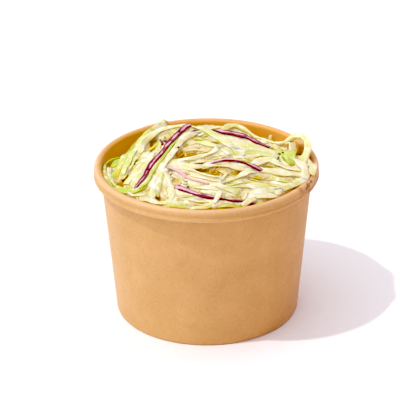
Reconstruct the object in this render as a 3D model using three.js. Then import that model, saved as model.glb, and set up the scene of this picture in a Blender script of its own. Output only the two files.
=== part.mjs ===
// A round kraft-paper food pot, heaped with coleslaw.
// The pot is two pieces of paper: a tapered sidewall, rolled outwards at its rim and folded in at its
// foot, and a raised base disc whose skirt is held in that fold. The coleslaw is one solid, from the
// base disc up to the uneven outline of the heap.
// Millimetres, +Z up. The origin is the middle of the foot, on the surface that the pot stands on.
// -Y is the front, +X the right.
import * as THREE from "three";

// Driving dimensions.
const HEIGHT = 63; // foot to the top of the rolled rim
const RIM_RADIUS = 45; // outside of the rolled rim
const NECK_RADIUS = 42.1; // outside of the wall, just under the roll
const FOOT_RADIUS = 37; // outside of the wall, at the foot
const ROLL_HEIGHT = 5; // top to bottom of the rolled rim
const PAPER = 0.5; // thickness of the coated paper
const BASE_LIFT = 5.6; // underside of the base disc, above the foot
const PLAY = 0.15; // free gap between two pieces that touch
const SLICES = 60; // facets round the pot

// The rolled rim.
const ROLL_LEAN = 0.2; // how far the rim's outer face leans out towards its lower edge
const ROLL_EDGE_RADIUS = 0.95; // round lower edge, along the middle of the paper
const ROLL_TAIL = 0.6; // straight end of the paper, inside the roll
const ROLL_START = 1.5; // depth below the top where the wall begins to bend outwards
const ROLL_STEPS = 6; // facets of each of its two bends

// The fold at the foot, which wraps round the base's skirt.
const FOLD_STEPS = 5; // odd, so that the middle facet lies flat on the table
const SKIRT_CORNER = 0.8; // bend between the disc and its skirt, along the middle of the paper
const CORNER_STEPS = 3;

// The heap.
const CROWN = { x: 2, y: -4, z: 67 }; // its highest spot
const SHOULDER = 60.6; // height of its edge at the wall, where nothing lifts or lowers it
const DOME_POWER = 2.2; // 2 is a round dome, more is flatter on top and steeper at the wall
const HEAP_RINGS = 20; // rings of facets from its edge to its middle
// Where the edge rises or dips: a direction and a spread to each side in degrees, the radius where
// the change starts, the run from there to its full height, and that height.
const EDGE_CHANGES = [
  { at: 152, spread: 36, from: 30, run: 9, height: -6 }, // hollow at the back left
  { at: 48, spread: 32, from: 29, run: 10, height: -5.6 }, // hollow at the back right
  { at: 100, spread: 45, from: 16, run: 14, height: 2.2 }, // full back
  { at: 95, spread: 30, from: 34, run: 7, height: -3.6 }, // its low edge
  { at: 2, spread: 26, from: 31, run: 9, height: 3.4 }, // strands heaped over the right rim
];
const FULL_SHARE = 0.375; // part of an edge change's spread that has its full height
// Bundles of strands, as ridges in arcs round a far centre. Those of the left side run from the front
// left to the back, and those of the rest from side to side.
const LEFT_BUNDLES = { x: -130, y: 60, pitch: 9.5 };
const OTHER_BUNDLES = { x: 10, y: -90, pitch: 8.5 };
const BUNDLE_HEIGHT = 1.7; // valley to ridge
const BUNDLE_MIDDLE = 0.6; // share of that height which lies below the heap's mean surface
const LEFT_SIDE = { x: -7, lean: 0.35, blend: 9 }; // the line between the two, at y = 0, and its slope

const KRAFT = { color: "#d89e62", roughness: 0.75, metalness: 0 };
const CABBAGE = { color: "#eeecc4", roughness: 0.4, metalness: 0 };

const WALL_TOP = HEIGHT - ROLL_HEIGHT;

const wallOutside = (z) => FOOT_RADIUS + ((NECK_RADIUS - FOOT_RADIUS) * z) / WALL_TOP;
const wallInside = (z) => wallOutside(z) - PAPER;

const point = (x, y) => new THREE.Vector2(x, y);

// Points of an arc round a centre, from one angle to another in degrees, ends included.
function arc(centre, radius, from, to, steps) {
  return Array.from({ length: steps + 1 }, (_, i) => {
    const angle = THREE.MathUtils.degToRad(from + ((to - from) * i) / steps);
    return point(centre.x + radius * Math.cos(angle), centre.y + radius * Math.sin(angle));
  });
}

// The outline of a sheet of the given thickness, whose middle follows the line.
function sheetOutline(line, thickness) {
  const offset = (side) =>
    line.map((here, i) => {
      const before = line[i - 1] ?? here;
      const after = line[i + 1] ?? here;
      const into = here.clone().sub(before).normalize();
      const out = after.clone().sub(here).normalize();
      const along = into.add(out).normalize();
      return point(here.x - side * along.y, here.y + side * along.x);
    });
  const left = offset(thickness / 2);
  const right = offset(-thickness / 2).reverse();
  return [...left, ...right];
}

// Turns a profile of (radius, height) points round the Z axis.
function turned(profile) {
  return new THREE.LatheGeometry(profile, SLICES).rotateX(Math.PI / 2);
}

function mesh(name, geometry, finish) {
  const made = new THREE.Mesh(geometry, new THREE.MeshStandardMaterial(finish));
  made.name = name;
  return made;
}

// Middle of the wall's paper, and of the hem that is folded up inside it, at height z.
const wallMiddle = (z) => wallOutside(z) - PAPER / 2;
const skirtMiddle = (z) => wallMiddle(z) - PAPER - PLAY;
const hemMiddle = (z) => skirtMiddle(z) - PAPER - PLAY;

function sidewall() {
  const foldRadius = PAPER + PLAY;
  const foldFlat = THREE.MathUtils.degToRad(90 - 90 / FOLD_STEPS);
  const foldHeight = (foldRadius + PAPER / 2) * Math.sin(foldFlat);
  const foldCentre = point(wallMiddle(foldHeight) - foldRadius, foldHeight);
  const hem = [point(hemMiddle(BASE_LIFT - 2 * PLAY), BASE_LIFT - 2 * PLAY)];
  const fold = arc(foldCentre, foldRadius, 180, 360, FOLD_STEPS);

  const rollOutside = RIM_RADIUS - PAPER / 2;
  const crestOutside = rollOutside - ROLL_LEAN;
  const crestRadius = (crestOutside - wallMiddle(HEIGHT - ROLL_START)) / 2;
  const crestHeight = HEIGHT - PAPER / 2 - crestRadius;
  const crestCentre = point(crestOutside - crestRadius, crestHeight);
  const crest = arc(crestCentre, crestRadius, 180, 0, ROLL_STEPS);
  const edgeHeight = HEIGHT - ROLL_HEIGHT + PAPER / 2 + ROLL_EDGE_RADIUS;
  const edgeCentre = point(rollOutside - ROLL_EDGE_RADIUS, edgeHeight);
  const edge = arc(edgeCentre, ROLL_EDGE_RADIUS, 0, -180, ROLL_STEPS);
  const tail = [point(edgeCentre.x - ROLL_EDGE_RADIUS, edgeHeight + ROLL_TAIL)];

  const line = [...hem, ...fold, ...crest, ...edge, ...tail];
  const outline = sheetOutline(line, PAPER).reverse();
  outline.push(outline[0].clone());
  return mesh("cup_sidewall", turned(outline), KRAFT);
}

function base() {
  const discMiddle = BASE_LIFT + PAPER / 2;
  const skirtBottom = 2 * (PAPER + PLAY);
  const cornerHeight = discMiddle - SKIRT_CORNER;
  const cornerCentre = point(skirtMiddle(cornerHeight) - SKIRT_CORNER, cornerHeight);
  const corner = arc(cornerCentre, SKIRT_CORNER, 90, 0, CORNER_STEPS);
  const line = [point(0, discMiddle), ...corner, point(skirtMiddle(skirtBottom), skirtBottom)];
  const outline = sheetOutline(line, PAPER).reverse();
  return mesh("cup_base", turned(outline), KRAFT);
}

const smooth = (t) => THREE.MathUtils.smoothstep(t, 0, 1);

// How much of an edge change is felt at a place: 1 at its heart, 0 outside it.
function share(change, radius, degrees) {
  const turn = Math.abs(((degrees - change.at + 540) % 360) - 180);
  const fade = (1 - turn / change.spread) / (1 - FULL_SHARE);
  return smooth(fade) * smooth((radius - change.from) / change.run);
}

// Height of the strand bundles' ridges over their middle level.
function ridges(bundles, x, y) {
  const across = Math.hypot(x - bundles.x, y - bundles.y) / bundles.pitch;
  return BUNDLE_HEIGHT * (Math.abs(Math.cos(Math.PI * across)) - BUNDLE_MIDDLE);
}

function relief(x, y) {
  const beyond = (LEFT_SIDE.x + LEFT_SIDE.lean * y - x) / LEFT_SIDE.blend;
  const left = smooth(beyond + 0.5);
  return left * ridges(LEFT_BUNDLES, x, y) + (1 - left) * ridges(OTHER_BUNDLES, x, y);
}

// Height of the heap's surface over a place in the pot.
function heapTop(x, y) {
  const edge = wallInside(HEIGHT);
  const fromCrown = Math.min(1, Math.hypot(x - CROWN.x, y - CROWN.y) / edge);
  const dome = SHOULDER + (CROWN.z - SHOULDER) * (1 - fromCrown ** DOME_POWER);
  const radius = Math.hypot(x, y);
  const degrees = THREE.MathUtils.radToDeg(Math.atan2(y, x));
  const change = EDGE_CHANGES.reduce((sum, c) => sum + c.height * share(c, radius, degrees), 0);
  return dome + change + relief(x, y);
}

// The top starts as a flat disc of rings at the height of the shoulder. Each ring is then stretched to
// the wall at the height that the heap has there, and each point is lifted to the heap.
function coleslaw() {
  const floor = BASE_LIFT + PAPER + PLAY;
  const flatEdge = wallInside(SHOULDER) - PLAY;
  const rings = Array.from({ length: HEAP_RINGS + 1 }, (_, i) =>
    point(flatEdge * (1 - i / HEAP_RINGS), SHOULDER),
  );
  const foot = point(wallInside(floor) - 2 * PLAY, floor);
  const geometry = turned([point(0, floor), foot, ...rings]);
  const positions = geometry.getAttribute("position");
  for (let i = 0; i < positions.count; i++) {
    if (positions.getZ(i) < SHOULDER - 1) continue;
    const flat = point(positions.getX(i), positions.getY(i));
    const outermost = flat.clone().setLength(flatEdge);
    const edge = wallInside(heapTop(outermost.x, outermost.y)) - PLAY;
    const place = flat.multiplyScalar(edge / flatEdge);
    positions.setXYZ(i, place.x, place.y, heapTop(place.x, place.y));
  }
  return mesh("coleslaw", geometry, CABBAGE);
}

const pot = new THREE.Group();
pot.add(sidewall(), base(), coleslaw());

export default pot;
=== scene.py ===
"""Coleslaw heaped in a round kraft-paper pot.

Shapes are worked out in millimetres and turned to metres where a mesh is made.
-Y is the front, +X the right, and +Z is up from the pot's foot.
"""
import math

import bpy
import numpy as np
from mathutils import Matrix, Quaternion, Vector
from mathutils.bvhtree import BVHTree
from numpy.lib.stride_tricks import sliding_window_view


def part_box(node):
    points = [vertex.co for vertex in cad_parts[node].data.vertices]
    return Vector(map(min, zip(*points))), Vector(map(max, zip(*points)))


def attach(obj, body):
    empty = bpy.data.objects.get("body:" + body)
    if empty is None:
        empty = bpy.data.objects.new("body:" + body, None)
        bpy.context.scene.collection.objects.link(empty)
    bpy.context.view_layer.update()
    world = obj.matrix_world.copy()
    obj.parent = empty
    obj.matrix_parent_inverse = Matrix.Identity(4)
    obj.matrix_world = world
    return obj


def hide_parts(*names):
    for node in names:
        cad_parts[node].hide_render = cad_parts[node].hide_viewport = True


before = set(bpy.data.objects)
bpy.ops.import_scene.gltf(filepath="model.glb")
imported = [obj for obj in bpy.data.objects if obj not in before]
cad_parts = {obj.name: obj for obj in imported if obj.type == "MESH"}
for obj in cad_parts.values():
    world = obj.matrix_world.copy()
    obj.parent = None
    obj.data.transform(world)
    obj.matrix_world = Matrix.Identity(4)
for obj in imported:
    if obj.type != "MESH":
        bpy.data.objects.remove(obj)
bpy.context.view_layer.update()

MM = 0.001
SEED = 11

# ---- sizes of the pot

_, sidewall_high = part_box("cup_sidewall")
RIM_RADIUS = sidewall_high.x / MM
HEIGHT = sidewall_high.z / MM
ROLL_HEIGHT = 5.0
NECK_RADIUS = RIM_RADIUS - 2.9  # outside of the wall, just under the roll
FOOT_RADIUS = 37.0
PAPER = 0.5
PLAY = 0.15  # between two layers of paper
BASE_LIFT = 5.6  # underside of the base disc
WALL_TOP = HEIGHT - ROLL_HEIGHT


def wall_middle(z):
    return FOOT_RADIUS + (NECK_RADIUS - FOOT_RADIUS) * z / WALL_TOP - PAPER / 2


def wall_inside(z):
    return wall_middle(z) - PAPER / 2


# ---- helpers for meshes and materials


def smooth_step(value, low=0.0, high=1.0):
    t = np.clip((value - low) / (high - low), 0, 1)
    return t * t * (3 - 2 * t)


def arc(centre, radius, start, stop, steps):
    angle = np.radians(np.linspace(start, stop, steps + 1))
    return np.stack([centre[0] + radius * np.cos(angle), centre[1] + radius * np.sin(angle)], -1)


def distance_along(path):
    return np.concatenate([[0], np.cumsum(np.linalg.norm(np.diff(path, axis=0), axis=1))])


def grid_quads(rows, columns, wrap_rows=False, wrap_columns=False):
    """Faces between neighbouring points of a grid that is stored row by row."""
    row = np.arange(rows if wrap_rows else rows - 1)[:, None]
    column = np.arange(columns if wrap_columns else columns - 1)[None, :]
    next_row = (row + 1) % rows
    next_column = (column + 1) % columns
    pairs = [(row, column), (row, next_column), (next_row, next_column), (next_row, column)]
    return np.stack([r * columns + c for r, c in pairs], -1).reshape(-1, 4)


def grid_map(u, v):
    """UV corners of grid_quads' faces, from the values at the lines between its rows and columns."""
    u, v = np.asarray(u, float)[:, None], np.asarray(v, float)[None, :]
    pairs = [(u[:-1], v[:, :-1]), (u[:-1], v[:, 1:]), (u[1:], v[:, 1:]), (u[1:], v[:, :-1])]
    return np.stack([np.stack(np.broadcast_arrays(a, b), -1) for a, b in pairs], 2).reshape(-1, 4, 2)


def make_piece(name, points, quads, material, maps=None, numbers=None):
    """A smooth mesh that rides on the pot. maps has UV corners for each face, numbers has a value for
    each point."""
    points = np.asarray(points, float).reshape(-1, 3)
    a, b, c, d = (points[quads[:, k]] for k in range(4))
    volume = np.einsum("ij,ij->", a, np.cross(b, c) + np.cross(c, d))
    turn = slice(None, None, -1 if volume < 0 else 1)
    mesh = bpy.data.meshes.new(name)
    mesh.from_pydata((points * MM).tolist(), [], quads[:, turn].tolist())
    for title, corners in (maps or {}).items():
        layer = mesh.uv_layers.new(name=title)
        layer.data.foreach_set("uv", np.ascontiguousarray(corners[:, turn]).ravel())
    for title, values in (numbers or {}).items():
        mesh.attributes.new(title, "FLOAT", "POINT").data.foreach_set("value", values)
    mesh.materials.append(material)
    mesh.shade_smooth()
    piece = bpy.data.objects.new(name, mesh)
    bpy.context.scene.collection.objects.link(piece)
    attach(piece, "root")
    return piece


def linear(colour):
    """An sRGB hex colour as linear red, green, blue and alpha."""
    channels = [int(colour[i : i + 2], 16) / 255 for i in (1, 3, 5)]
    return [c / 12.92 if c < 0.04045 else ((c + 0.055) / 1.055) ** 2.4 for c in channels] + [1.0]


def palette(**colours):
    return {name: linear(colour) for name, colour in colours.items()}


def new_material(name):
    material = bpy.data.materials.new(name)
    material.use_nodes = True
    material.node_tree.nodes.clear()
    return material, material.node_tree


# Sockets that share their name with others: a Mix node's for colours, and a Map Range node's.
SHARE, FIRST, SECOND, MIXED = 0, 6, 7, 2
FROM_LOW, FROM_HIGH, TO_LOW, TO_HIGH = 1, 2, 3, 4
USUAL_SETTINGS = {"Mix": {"data_type": "RGBA"}, "Mapping": {"vector_type": "TEXTURE"}}
USUAL_OUTPUT = {"Mix": MIXED, "Attribute": "Fac"}


def add(tree, kind, inputs, out=None, **settings):
    """Adds a node and gives back one of its outputs. inputs maps a socket to a value, or to the output
    of another node that is linked to it."""
    made = tree.nodes.new("ShaderNode" + kind)
    for setting, value in {**USUAL_SETTINGS.get(kind, {}), **settings}.items():
        setattr(made, setting, value)
    for where, value in inputs.items():
        if isinstance(value, bpy.types.NodeSocket):
            tree.links.new(value, made.inputs[where])
        else:
            made.inputs[where].default_value = value
    return made.outputs[out or USUAL_OUTPUT.get(kind, 0)] if made.outputs else None


def add_surface(tree, colour, relief, finish, strength, depth):
    """The nodes that end each of the object's materials: a relief of this depth in mm, and the shader."""
    bump = add(tree, "Bump", {"Height": relief, "Strength": strength, "Distance": depth * MM})
    shader = add(tree, "BsdfPrincipled", {"Base Color": colour, "Normal": bump, **finish})
    add(tree, "OutputMaterial", {"Surface": shader})


# ---- kraft paper

FIBRE_WIDTH = 0.35  # mm. Wood fibres are ten times finer, which would not show
FIBRE_LENGTH = 2.6
FIBRE_TURNS = (15, -70, 60)  # degrees between three lots of fibres and the way round the pot
FIBRE_RELIEF = 0.06  # mm
CLOUD = 13.0  # mm across the thick and thin places of the sheet
OIL_SPOT = 2.8  # mm across spots where oil has soaked in
BARE, FILMED = 0.65, 0.45  # roughness
# How much of the colour below them fibres, the film's painted bounce light, the painted highlight and oil
# hide, at most.
FIBRE_SHARE, FILM_SHARE, RUBBED_SHARE, OIL_SHARE = 0.55, 0.85, 0.26, 0.8
KRAFT = palette(
    deep="#d0a36a",
    light="#dbae76",
    pale_fibre="#e4c08e",
    dark_fibre="#b5844a",
    film="#e5ac5a",
    rubbed="#efd6ae",
    oiled="#8f5012",
)


def kraft_paper():
    """Unbleached kraft board off a paper machine. Brown wood fibres lie all ways and are seen as fine
    pale and dark dashes, over faint clouds where the sheet is thicker. Bare board is matt and fuzzy, and
    smoother where the roll stands proud, with a painted highlight there. The film on the food side makes
    it smoother; its orange tint is painted bounce light inside the pot, and oil soaks into it in dark
    spots."""
    material, tree = new_material("kraft_board_machine_made")
    sheet = add(tree, "UVMap", {}, uv_map="sheet")
    marks = ("film", "rubbed", "oiled")
    film, rubbed, oiled = (add(tree, "Attribute", {}, attribute_name=mark) for mark in marks)
    clouds = add(tree, "TexNoise", {"Vector": sheet, "Scale": 1 / CLOUD, "Detail": 4.0, "Roughness": 0.6})
    cloudy = add(tree, "MapRange", {"Value": clouds, FROM_LOW: 0.3, FROM_HIGH: 0.7})
    colour = add(tree, "Mix", {SHARE: cloudy, FIRST: KRAFT["deep"], SECOND: KRAFT["light"]})
    fibres = []
    for turn in FIBRE_TURNS:
        grain = {"Rotation": (0, 0, math.radians(turn)), "Scale": (FIBRE_LENGTH, FIBRE_WIDTH, 1)}
        turned = add(tree, "Mapping", {"Vector": sheet, **grain})
        fibres.append(add(tree, "TexNoise", {"Vector": turned, "Scale": 1.0, "Detail": 2.0}))
    for weave, low, high, tint in (
        (0, 0.58, 0.75, "pale_fibre"),
        (1, 0.42, 0.25, "dark_fibre"),
        (2, 0.60, 0.75, "pale_fibre"),
        (0, 0.36, 0.22, "dark_fibre"),
    ):
        limits = {FROM_LOW: low, FROM_HIGH: high, TO_HIGH: FIBRE_SHARE}
        share = add(tree, "MapRange", {"Value": fibres[weave], **limits})
        colour = add(tree, "Mix", {SHARE: share, FIRST: colour, SECOND: KRAFT[tint]})
    spots = add(tree, "TexNoise", {"Vector": sheet, "Scale": 1 / OIL_SPOT, "Detail": 2.0})
    spotty = add(tree, "MapRange", {"Value": spots, FROM_LOW: 0.5, FROM_HIGH: 0.6, TO_HIGH: OIL_SHARE})
    # The film's orange tint is painted warm light bounced round inside the pot.
    for mark, most, tint in (
        (film, FILM_SHARE, "film"),
        # A painted highlight on the roll's crest and lip.
        (rubbed, RUBBED_SHARE, "rubbed"),
        (oiled, spotty, "oiled"),
    ):
        share = add(tree, "Math", {0: mark, 1: most}, operation="MULTIPLY")
        colour = add(tree, "Mix", {SHARE: share, FIRST: colour, SECOND: KRAFT[tint]})
    height = add(tree, "Math", {0: fibres[0], 1: fibres[1]}, operation="ADD")
    smoothed = add(tree, "Math", {0: film, 1: rubbed}, operation="MAXIMUM")
    roughness = add(tree, "MapRange", {"Value": smoothed, TO_LOW: BARE, TO_HIGH: FILMED})
    finish = {"Roughness": roughness, "IOR": 1.48, "Sheen Weight": 0.15, "Sheen Roughness": 0.4}
    add_surface(tree, colour, height, finish, strength=0.35, depth=FIBRE_RELIEF)
    return material


kraft_board = kraft_paper()

# ---- the pot

# Points round the wall, over its lap and round the base, and then along each part of their outlines.
SLICES, LAP_SLICES, BASE_SLICES = 288, 13, 144
FOLD_STEPS, WALL_RINGS, CREST_STEPS, FACE_RINGS, LIP_STEPS = 10, 22, 16, 10, 12
BASE_RINGS, BEND_STEPS = 24, 6
HEM_FOLD = PAPER + PLAY  # bend radius of the fold at the foot, along the middle of the paper
ROLL_LEAN = 0.2  # how far the roll's outside leans out towards its lip
ROLL_WAIST = 0.3  # how far it is drawn in between crest and lip
WAIST_LOW = 1.5  # more than 1 puts this nearer the lip
ROLL_START = 1.5  # depth below the top where the wall begins to bend outwards
LIP_RADIUS = 0.7
LIP_TUCK = 0.6  # straight end of the paper inside the lip
BASE_BEND = 0.8  # bend radius between the base disc and its skirt
NEAR_AXIS = 0.02  # mm from the axis to the base disc's first ring
SEAM = math.radians(118)  # azimuth of the side seam's cut edge
SEAM_WIDTH, SEAM_FULL = 7.0, 0.5  # the share of it that stands proud in full
SEAM_RISE = 0.8 * PAPER
CUT_EDGE = 0.03  # run of the seam's step, mm along the wall
FILM_FADE = 0.9  # mm of radius over which the crest of the roll hides the film and its tint, which is painted bounce light
# The oiled part of the rim: its middle, half its width, the share of that which is oiled in full, and
# its depth in mm.
OILED_AT, OILED_SPREAD, OILED_FULL, OILED_DEPTH = math.radians(-22), math.radians(18), 0.4, 9.0
OUT_OF_ROUND = ((2, 0.10, 0.6), (5, 0.05, 1.1))  # waves round the wall, their height and start
ROUND_FOOT = (2, 16)  # heights between which those waves set in
# The roll has a painted highlight at its crest and lip, where the board is also smoother. Distances in mm
# between which that fades: below the top, above the lip, and outside of the neck.
RUBBED_CREST, RUBBED_LIP, RUBBED_OUT = (0.6, 2), (0, 1.6), (0.9, 2.2)


def sheet_outline(line):
    """Outline of a sheet of paper whose middle follows the line, and the way along it to each point."""
    line = np.asarray(line)
    along = np.gradient(line, axis=0)
    along /= np.linalg.norm(along, axis=1)[:, None]
    aside = np.stack([-along[:, 1], along[:, 0]], -1) * PAPER / 2
    way = distance_along(line)
    return np.concatenate([line + aside, (line - aside)[::-1]]), np.concatenate([way, way[::-1]])


def sidewall_line():
    """Middle of the sidewall's paper, from the hem inside the foot to the tucked end of the roll."""
    hem_top = BASE_LIFT - 2 * PLAY
    hem = [(wall_middle(hem_top) - 2 * HEM_FOLD, hem_top)]
    fold_height = HEM_FOLD + PAPER / 2
    fold_centre = (wall_middle(fold_height) - HEM_FOLD, fold_height)
    fold = arc(fold_centre, HEM_FOLD, 180, 360, FOLD_STEPS)
    crest_outside = RIM_RADIUS - PAPER / 2 - ROLL_LEAN
    crest_radius = (crest_outside - wall_middle(HEIGHT - ROLL_START)) / 2
    crest_centre = (crest_outside - crest_radius, HEIGHT - PAPER / 2 - crest_radius)
    crest = arc(crest_centre, crest_radius, 180, 0, CREST_STEPS)
    wall = fold[-1] + (crest[0] - fold[-1]) * np.linspace(0, 1, WALL_RINGS)[1:-1, None]
    lip_centre = (RIM_RADIUS - PAPER / 2 - LIP_RADIUS, WALL_TOP + PAPER / 2 + LIP_RADIUS)
    lip = arc(lip_centre, LIP_RADIUS, 0, -180, LIP_STEPS)
    down = np.linspace(0, 1, FACE_RINGS)[1:-1, None]
    face = crest[-1] + (lip[0] - crest[-1]) * down
    face[:, 0] -= ROLL_WAIST * np.sin(math.pi * down[:, 0] ** WAIST_LOW) ** 2
    tucked = [(lip_centre[0] - LIP_RADIUS, lip_centre[1] + LIP_TUCK)]
    return np.concatenate([hem, fold, wall, crest, face, lip, tucked])


def turned_sheet(line, around, swell=0.0):
    """A sheet that is turned round the pot's axis: its points, its faces, and their corners in mm of
    paper."""
    outline, way = sheet_outline(line)
    angle = around[:, None]
    radius = outline[:, 0] + swell + 0 * angle
    points = np.stack([radius * np.cos(angle), radius * np.sin(angle), outline[:, 1] + 0 * radius], -1)
    lines_round = np.append(around, around[0] + 2 * math.pi) * NECK_RADIUS
    # The second side is kept clear of the first, so that their fibres differ.
    sides = np.where(np.arange(len(way)) < len(way) // 2, 0, 2 * way.max())
    corners = grid_map(lines_round, np.append(way + sides, 0))
    return points, grid_quads(*points.shape[:2], wrap_rows=True, wrap_columns=True), corners


def pot_sidewall():
    line = sidewall_line()
    outline, _ = sheet_outline(line)
    lap = np.linspace(0, SEAM_WIDTH, LAP_SLICES) / NECK_RADIUS
    slices = np.linspace(0, 2 * math.pi, SLICES, endpoint=False)
    past_seam = np.unique(np.concatenate([slices, lap, [CUT_EDGE / NECK_RADIUS]]))
    lapped = 1 - smooth_step(past_seam * NECK_RADIUS, SEAM_FULL * SEAM_WIDTH, SEAM_WIDTH)
    lapped[0] = 0
    around = SEAM + past_seam
    waves = sum(height * np.sin(count * around + start) for count, height, start in OUT_OF_ROUND)
    # The hem inside the foot stays round, as it grips the base.
    free = outline[:, 0] > wall_inside(outline[:, 1]) - PLAY / 2
    swell = SEAM_RISE * lapped[:, None] * free
    swell = swell + waves[:, None] * free * smooth_step(outline[:, 1], *ROUND_FOOT)
    points, quads, corners = turned_sheet(line, around, swell)
    food_side = np.arange(len(outline)) < len(line)
    # The film on the food side, whose tint is painted bounce light.
    film = food_side * smooth_step(NECK_RADIUS + FILM_FADE - outline[:, 0], 0, FILM_FADE)
    film = np.tile(film, len(around))
    aside = np.abs(np.angle(np.exp(1j * (around - OILED_AT))))
    oiled = 1 - smooth_step(aside, OILED_FULL * OILED_SPREAD, OILED_SPREAD)
    below_top, above_lip = HEIGHT - outline[:, 1], outline[:, 1] - WALL_TOP
    oiled = (oiled[:, None] * (food_side * smooth_step(below_top, OILED_DEPTH, 0))).ravel()
    # The painted highlight on the roll's crest and lip, which is also where the board is smoother.
    proud = 1 - smooth_step(above_lip, *RUBBED_LIP) * smooth_step(below_top, *RUBBED_CREST)
    rubbed = np.tile(proud * smooth_step(outline[:, 0] - NECK_RADIUS, *RUBBED_OUT), len(around))
    maps = {"sheet": corners}
    numbers = {"film": film, "rubbed": rubbed, "oiled": oiled}
    piece = make_piece("pot_sidewall", points, quads, kraft_board, maps, numbers)
    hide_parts("cup_sidewall")


def pot_base():
    middle = BASE_LIFT + PAPER / 2
    skirt = wall_middle(middle - BASE_BEND) - HEM_FOLD
    disc = [(r, middle) for r in np.linspace(NEAR_AXIS, skirt - BASE_BEND, BASE_RINGS)[:-1]]
    bend = arc((skirt - BASE_BEND, middle - BASE_BEND), BASE_BEND, 90, 0, BEND_STEPS)
    skirt_foot = [(wall_middle(2 * HEM_FOLD) - HEM_FOLD, 2 * HEM_FOLD)]
    around = np.linspace(0, 2 * math.pi, BASE_SLICES, endpoint=False)
    points, quads, _ = turned_sheet(np.concatenate([disc, bend, skirt_foot]), around)
    flat = points.reshape(-1, 3)[quads][..., :2]
    piece = make_piece("pot_base", points, quads, kraft_board, {"sheet": flat})
    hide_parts("cup_base")


pot_sidewall()
pot_base()

# ---- heights over the pot's floor

CELL = 0.5  # mm
GRID_REACH = 43.0  # mm from the axis to the grid's sides
LINE = np.arange(-GRID_REACH, GRID_REACH + CELL / 2, CELL)
GRID_X, GRID_Y = np.meshgrid(LINE, LINE, indexing="ij")


def nearest(x, y):
    """The cells of the grid that places fall in."""
    i, j = (np.rint((np.asarray(v) - LINE[0]) / CELL).astype(int) for v in (x, y))
    return np.clip(i, 0, len(LINE) - 1), np.clip(j, 0, len(LINE) - 1)


def spread(field, reach, measure):
    """Applies a measure, such as np.max, to the square of cells around each cell."""
    for axis in (0, 1):
        field = np.pad(field, [(reach, reach) if a == axis else (0, 0) for a in (0, 1)], mode="edge")
        field = measure(sliding_window_view(field, 2 * reach + 1, axis=axis), axis=-1)
    return field


BLUR = 3  # cells


def blurred(field):
    return spread(spread(field, BLUR, np.mean), BLUR, np.mean)


HEAP_EDGE = 40.2  # mm from the axis, just inside the modelled heap's edge


def heap_outline():
    """Height of the modelled heap over each cell. Past its edge it keeps the edge's height."""
    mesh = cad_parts["coleslaw"].data
    tree = BVHTree.FromPolygons([v.co for v in mesh.vertices], [f.vertices for f in mesh.polygons])
    inwards = np.minimum(1, HEAP_EDGE / np.maximum(1, np.hypot(GRID_X, GRID_Y)))
    heights = np.empty(GRID_X.shape)
    for cell in np.ndindex(heights.shape):
        above = Vector((GRID_X[cell] * inwards[cell] * MM, GRID_Y[cell] * inwards[cell] * MM, 1))
        heights[cell] = tree.ray_cast(above, Vector((0, 0, -1)))[0].z / MM
    return blurred(heights)


# Openings between the strands, down to the wet shreds below: place, half length and half width in mm,
# direction in degrees, and depth.
GAPS = (
    (-21.5, 18.5, 3.4, 1.3, 80, 3.5),
    (-7, 1.5, 5.6, 3.2, 0, 3.6),
    (1, -16.5, 7, 2.1, -30, 3.6),
    (-20, -31, 2.2, 1.3, 0, 4),
    (-3, -37, 2.2, 1.0, -10, 1.5),
    (-29, -1.5, 1.2, 2.4, -20, 4),
    (-36.5, -1.5, 2.6, 1.8, 30, 4.5),
    (-34, -17.5, 1.5, 1.8, 0, 4),
    (-31.5, -12, 1.6, 1.6, 0, 4),
    (24.5, -23, 4.5, 0.8, -3, 3.5),
    (9.5, -25.5, 3.0, 0.8, 10, 3),
    (12.5, -15.5, 3.5, 0.9, 20, 3),
    (-14, -16, 0.9, 2.2, 0, 3),
    (-12.5, -26, 2.0, 1.2, 60, 3),
    (37, 11, 3.2, 4.5, 0, 9),
)
GAP_SIDE = (0.7, 1.5)  # shares of a gap's size between which its side slopes
UNDER_OUTLINE = 0.7  # mm that the shreds' general level lies below the modelled heap


def wanted_heights(outline):
    wanted = outline - UNDER_OUTLINE
    for x, y, long, wide, turn, depth in GAPS:
        angle = math.radians(turn)
        along = (GRID_X - x) * math.cos(angle) + (GRID_Y - y) * math.sin(angle)
        across = (GRID_Y - y) * math.cos(angle) - (GRID_X - x) * math.sin(angle)
        wanted = wanted - depth * (1 - smooth_step(np.hypot(along / long, across / wide), *GAP_SIDE))
    return wanted


outline = heap_outline()
wanted = wanted_heights(outline)

# ---- shreds of cabbage

STEP = 0.9  # mm between the sections of a shred
SECTION = 14  # points round a section
LAY_STEP = 0.4  # mm between places where a shred is felt by those laid on it
SETTLING = 60  # rounds in which a shred sags onto its bed
SAG = 0.05  # mm that each section hangs below the line between its neighbours
LEAN = 0.7  # steepest slope across a shred
RESTING, RESTING_APART = np.linspace(-0.42, 0.42, 5), 0.8  # where a shred rests, as shares of its width
LAID = np.linspace(-0.92, 0.92, 9)  # where others feel it, as shares of its half width
PRESSES = 0.5  # share of its half thickness under its middle from which it presses others down
UNDER_DEPTH = 1.5  # mm that count as deeper on a shred's underside, so that painted shade falls there
BED_IN = 0.2  # mm that a shred sinks into what it lies on


def sideways(x, y):
    """Level directions square to a path, pointing to its left."""
    side = np.stack([-np.gradient(y), np.gradient(x)], -1)
    return side / (np.linalg.norm(side, axis=1)[:, None] + 1e-9)


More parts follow.
